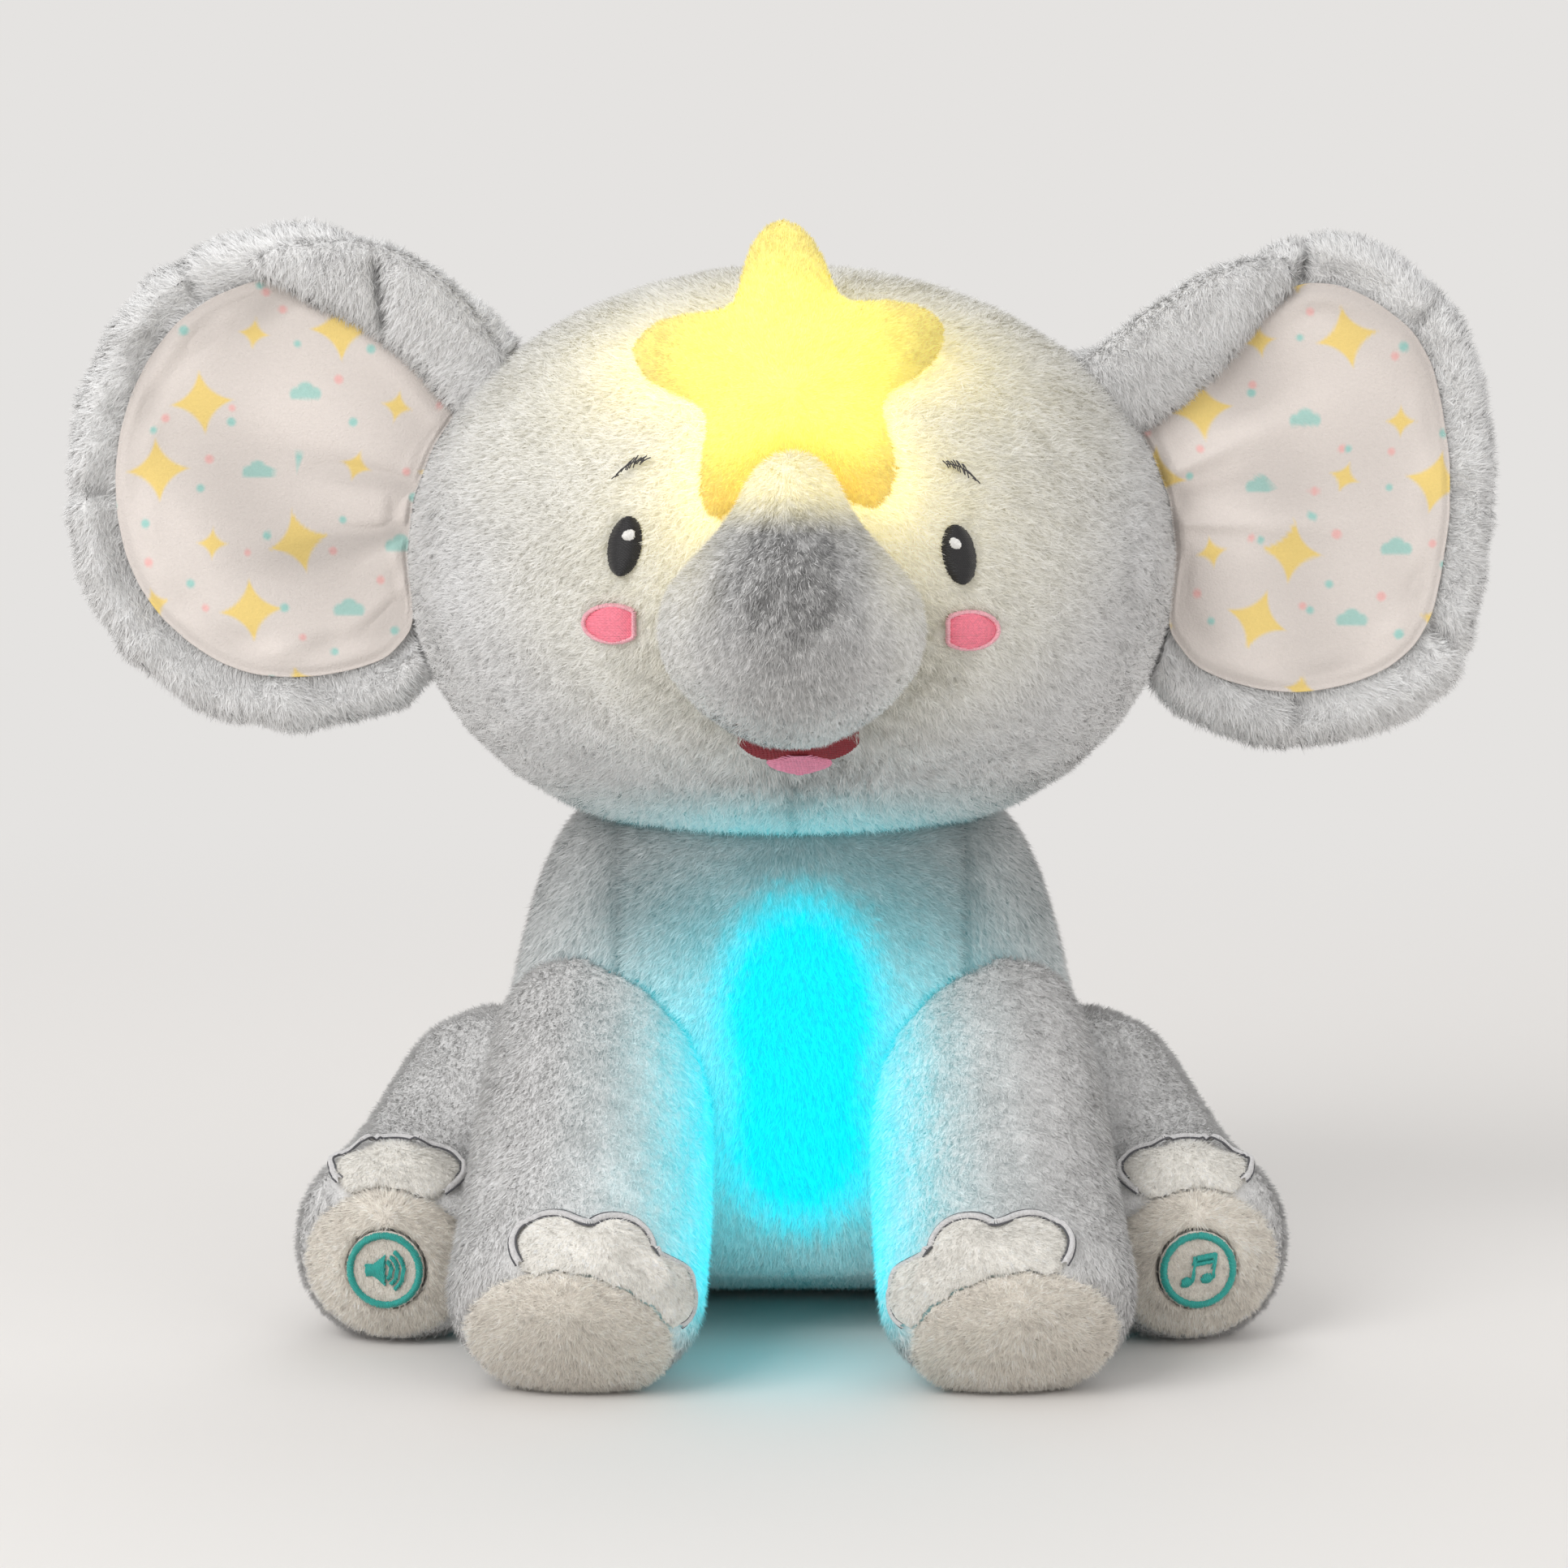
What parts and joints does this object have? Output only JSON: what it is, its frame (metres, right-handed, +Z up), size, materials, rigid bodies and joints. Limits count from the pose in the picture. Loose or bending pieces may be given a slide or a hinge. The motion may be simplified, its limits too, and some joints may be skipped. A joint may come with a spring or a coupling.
{
  "type": "plush night light",
  "caption": "Seated plush elephant night light with a lit star on its forehead, a glowing belly, foot buttons and a sound module behind a rear flap",
  "frame": {"origin": "on the surface the toy sits on, under the middle of the head", "axes": "+X to the toy's left ear as it is seen from the front on the right, -Y the way the face looks, +Z up"},
  "size_m": [0.349, 0.2135, 0.2696],
  "materials": {
    "plush": "matte",
    "pale_plush": "matte",
    "sole_plush": "matte",
    "lining_cloth": "matte",
    "star_cloth": "matte",
    "black_thread": "satin",
    "pink_thread": "satin",
    "red_thread": "satin",
    "teal_thread": "satin",
    "fastener_tape": "matte",
    "white_plastic": "satin",
    "frosted_plastic": "satin",
    "black_plastic": "satin",
    "green_board": "satin",
    "cell_wrap": "satin",
    "spring_steel": "satin",
    "speaker_black": "satin",
    "lead_sheath": "satin"
  },
  "bodies": {
    "toy": {"body": "plush", "belly_panel": "plush", "head": "plush", "trunk": "plush", "star": "star_cloth", "star_lamp_base": "white_plastic", "star_lamp_board": "green_board", "star_lamp_dome": "frosted_plastic", "eye_left": "black_thread", "brow_left": "black_thread", "cheek_left": "pink_thread", "eye_right": "black_thread", "brow_right": "black_thread", "cheek_right": "pink_thread", "mouth": "red_thread", "tongue": "pink_thread", "front_leg_left": "plush", "front_sole_left": "sole_plush", "front_toes_left": "pale_plush", "front_leg_right": "plush", "front_sole_right": "sole_plush", "front_toes_right": "pale_plush", "hind_leg_left": "plush", "hind_sole_left": "sole_plush", "hind_toes_left": "pale_plush", "hind_leg_right": "plush", "hind_sole_right": "sole_plush", "hind_toes_right": "pale_plush", "volume_housing": "white_plastic", "music_housing": "white_plastic", "loop_strip": "fastener_tape", "diffuser": "frosted_plastic", "module_case": "white_plastic", "circuit_board": "green_board", "belly_led_upper": "frosted_plastic", "belly_led_lower": "frosted_plastic", "speaker": "speaker_black", "battery_1": "cell_wrap", "battery_2": "cell_wrap", "battery_3": "cell_wrap", "contact_plate_left": "spring_steel", "contact_plate_right": "spring_steel", "star_lead": "lead_sheath", "volume_lead": "lead_sheath", "music_lead": "lead_sheath"},
    "ear_left": {"ear_left": "plush", "ear_lining_left": "lining_cloth"},
    "ear_right": {"ear_right": "plush", "ear_lining_right": "lining_cloth"},
    "tail": {"tail": "plush"},
    "volume_press": {"volume_button": "white_plastic", "volume_patch": "teal_thread"},
    "music_press": {"music_button": "white_plastic", "music_patch": "teal_thread"},
    "flap": {"rear_flap": "plush", "hook_strip": "fastener_tape"},
    "door": {"battery_door": "white_plastic", "door_screw": "spring_steel"},
    "switch": {"power_switch": "black_plastic"}
  },
  "joints": [
    {"name": "ear_left_flop", "type": "hinge", "parent": "toy", "child": "ear_left", "pos_m": [-0.092, 0, 0.155], "axis": [0.2562, 0, 0.9666], "range_deg": [-15, 15], "stiffness_Nm_per_rad": 0.05},
    {"name": "ear_right_flop", "type": "hinge", "parent": "toy", "child": "ear_right", "pos_m": [0.092, 0, 0.155], "axis": [-0.2562, 0, 0.9666], "range_deg": [-15, 15], "stiffness_Nm_per_rad": 0.05},
    {"name": "tail_swing", "type": "hinge", "parent": "toy", "child": "tail", "pos_m": [0, 0.0844, 0.03], "axis": [0, 0, 1], "range_deg": [-25, 25], "stiffness_Nm_per_rad": 0.002},
    {"name": "volume_press", "type": "slide", "parent": "toy", "child": "volume_press", "axis": [0.1155, 0.9931, 0.0194], "range_m": [0, 0.0015], "stiffness_N_per_m": 600},
    {"name": "music_press", "type": "slide", "parent": "toy", "child": "music_press", "axis": [-0.1155, 0.9931, 0.0194], "range_m": [0, 0.0015], "stiffness_N_per_m": 600},
    {"name": "flap_hinge", "type": "hinge", "parent": "toy", "child": "flap", "pos_m": [0, 0.0639, 0.113], "axis": [1, 0, 0], "range_deg": [0, 100]},
    {"name": "door_lift", "type": "slide", "parent": "toy", "child": "door", "axis": [0, 1, 0], "range_m": [0, 0.008]},
    {"name": "power_slide", "type": "slide", "parent": "toy", "child": "switch", "axis": [0, 0, 1], "range_m": [-0.006, 0]}
  ]
}
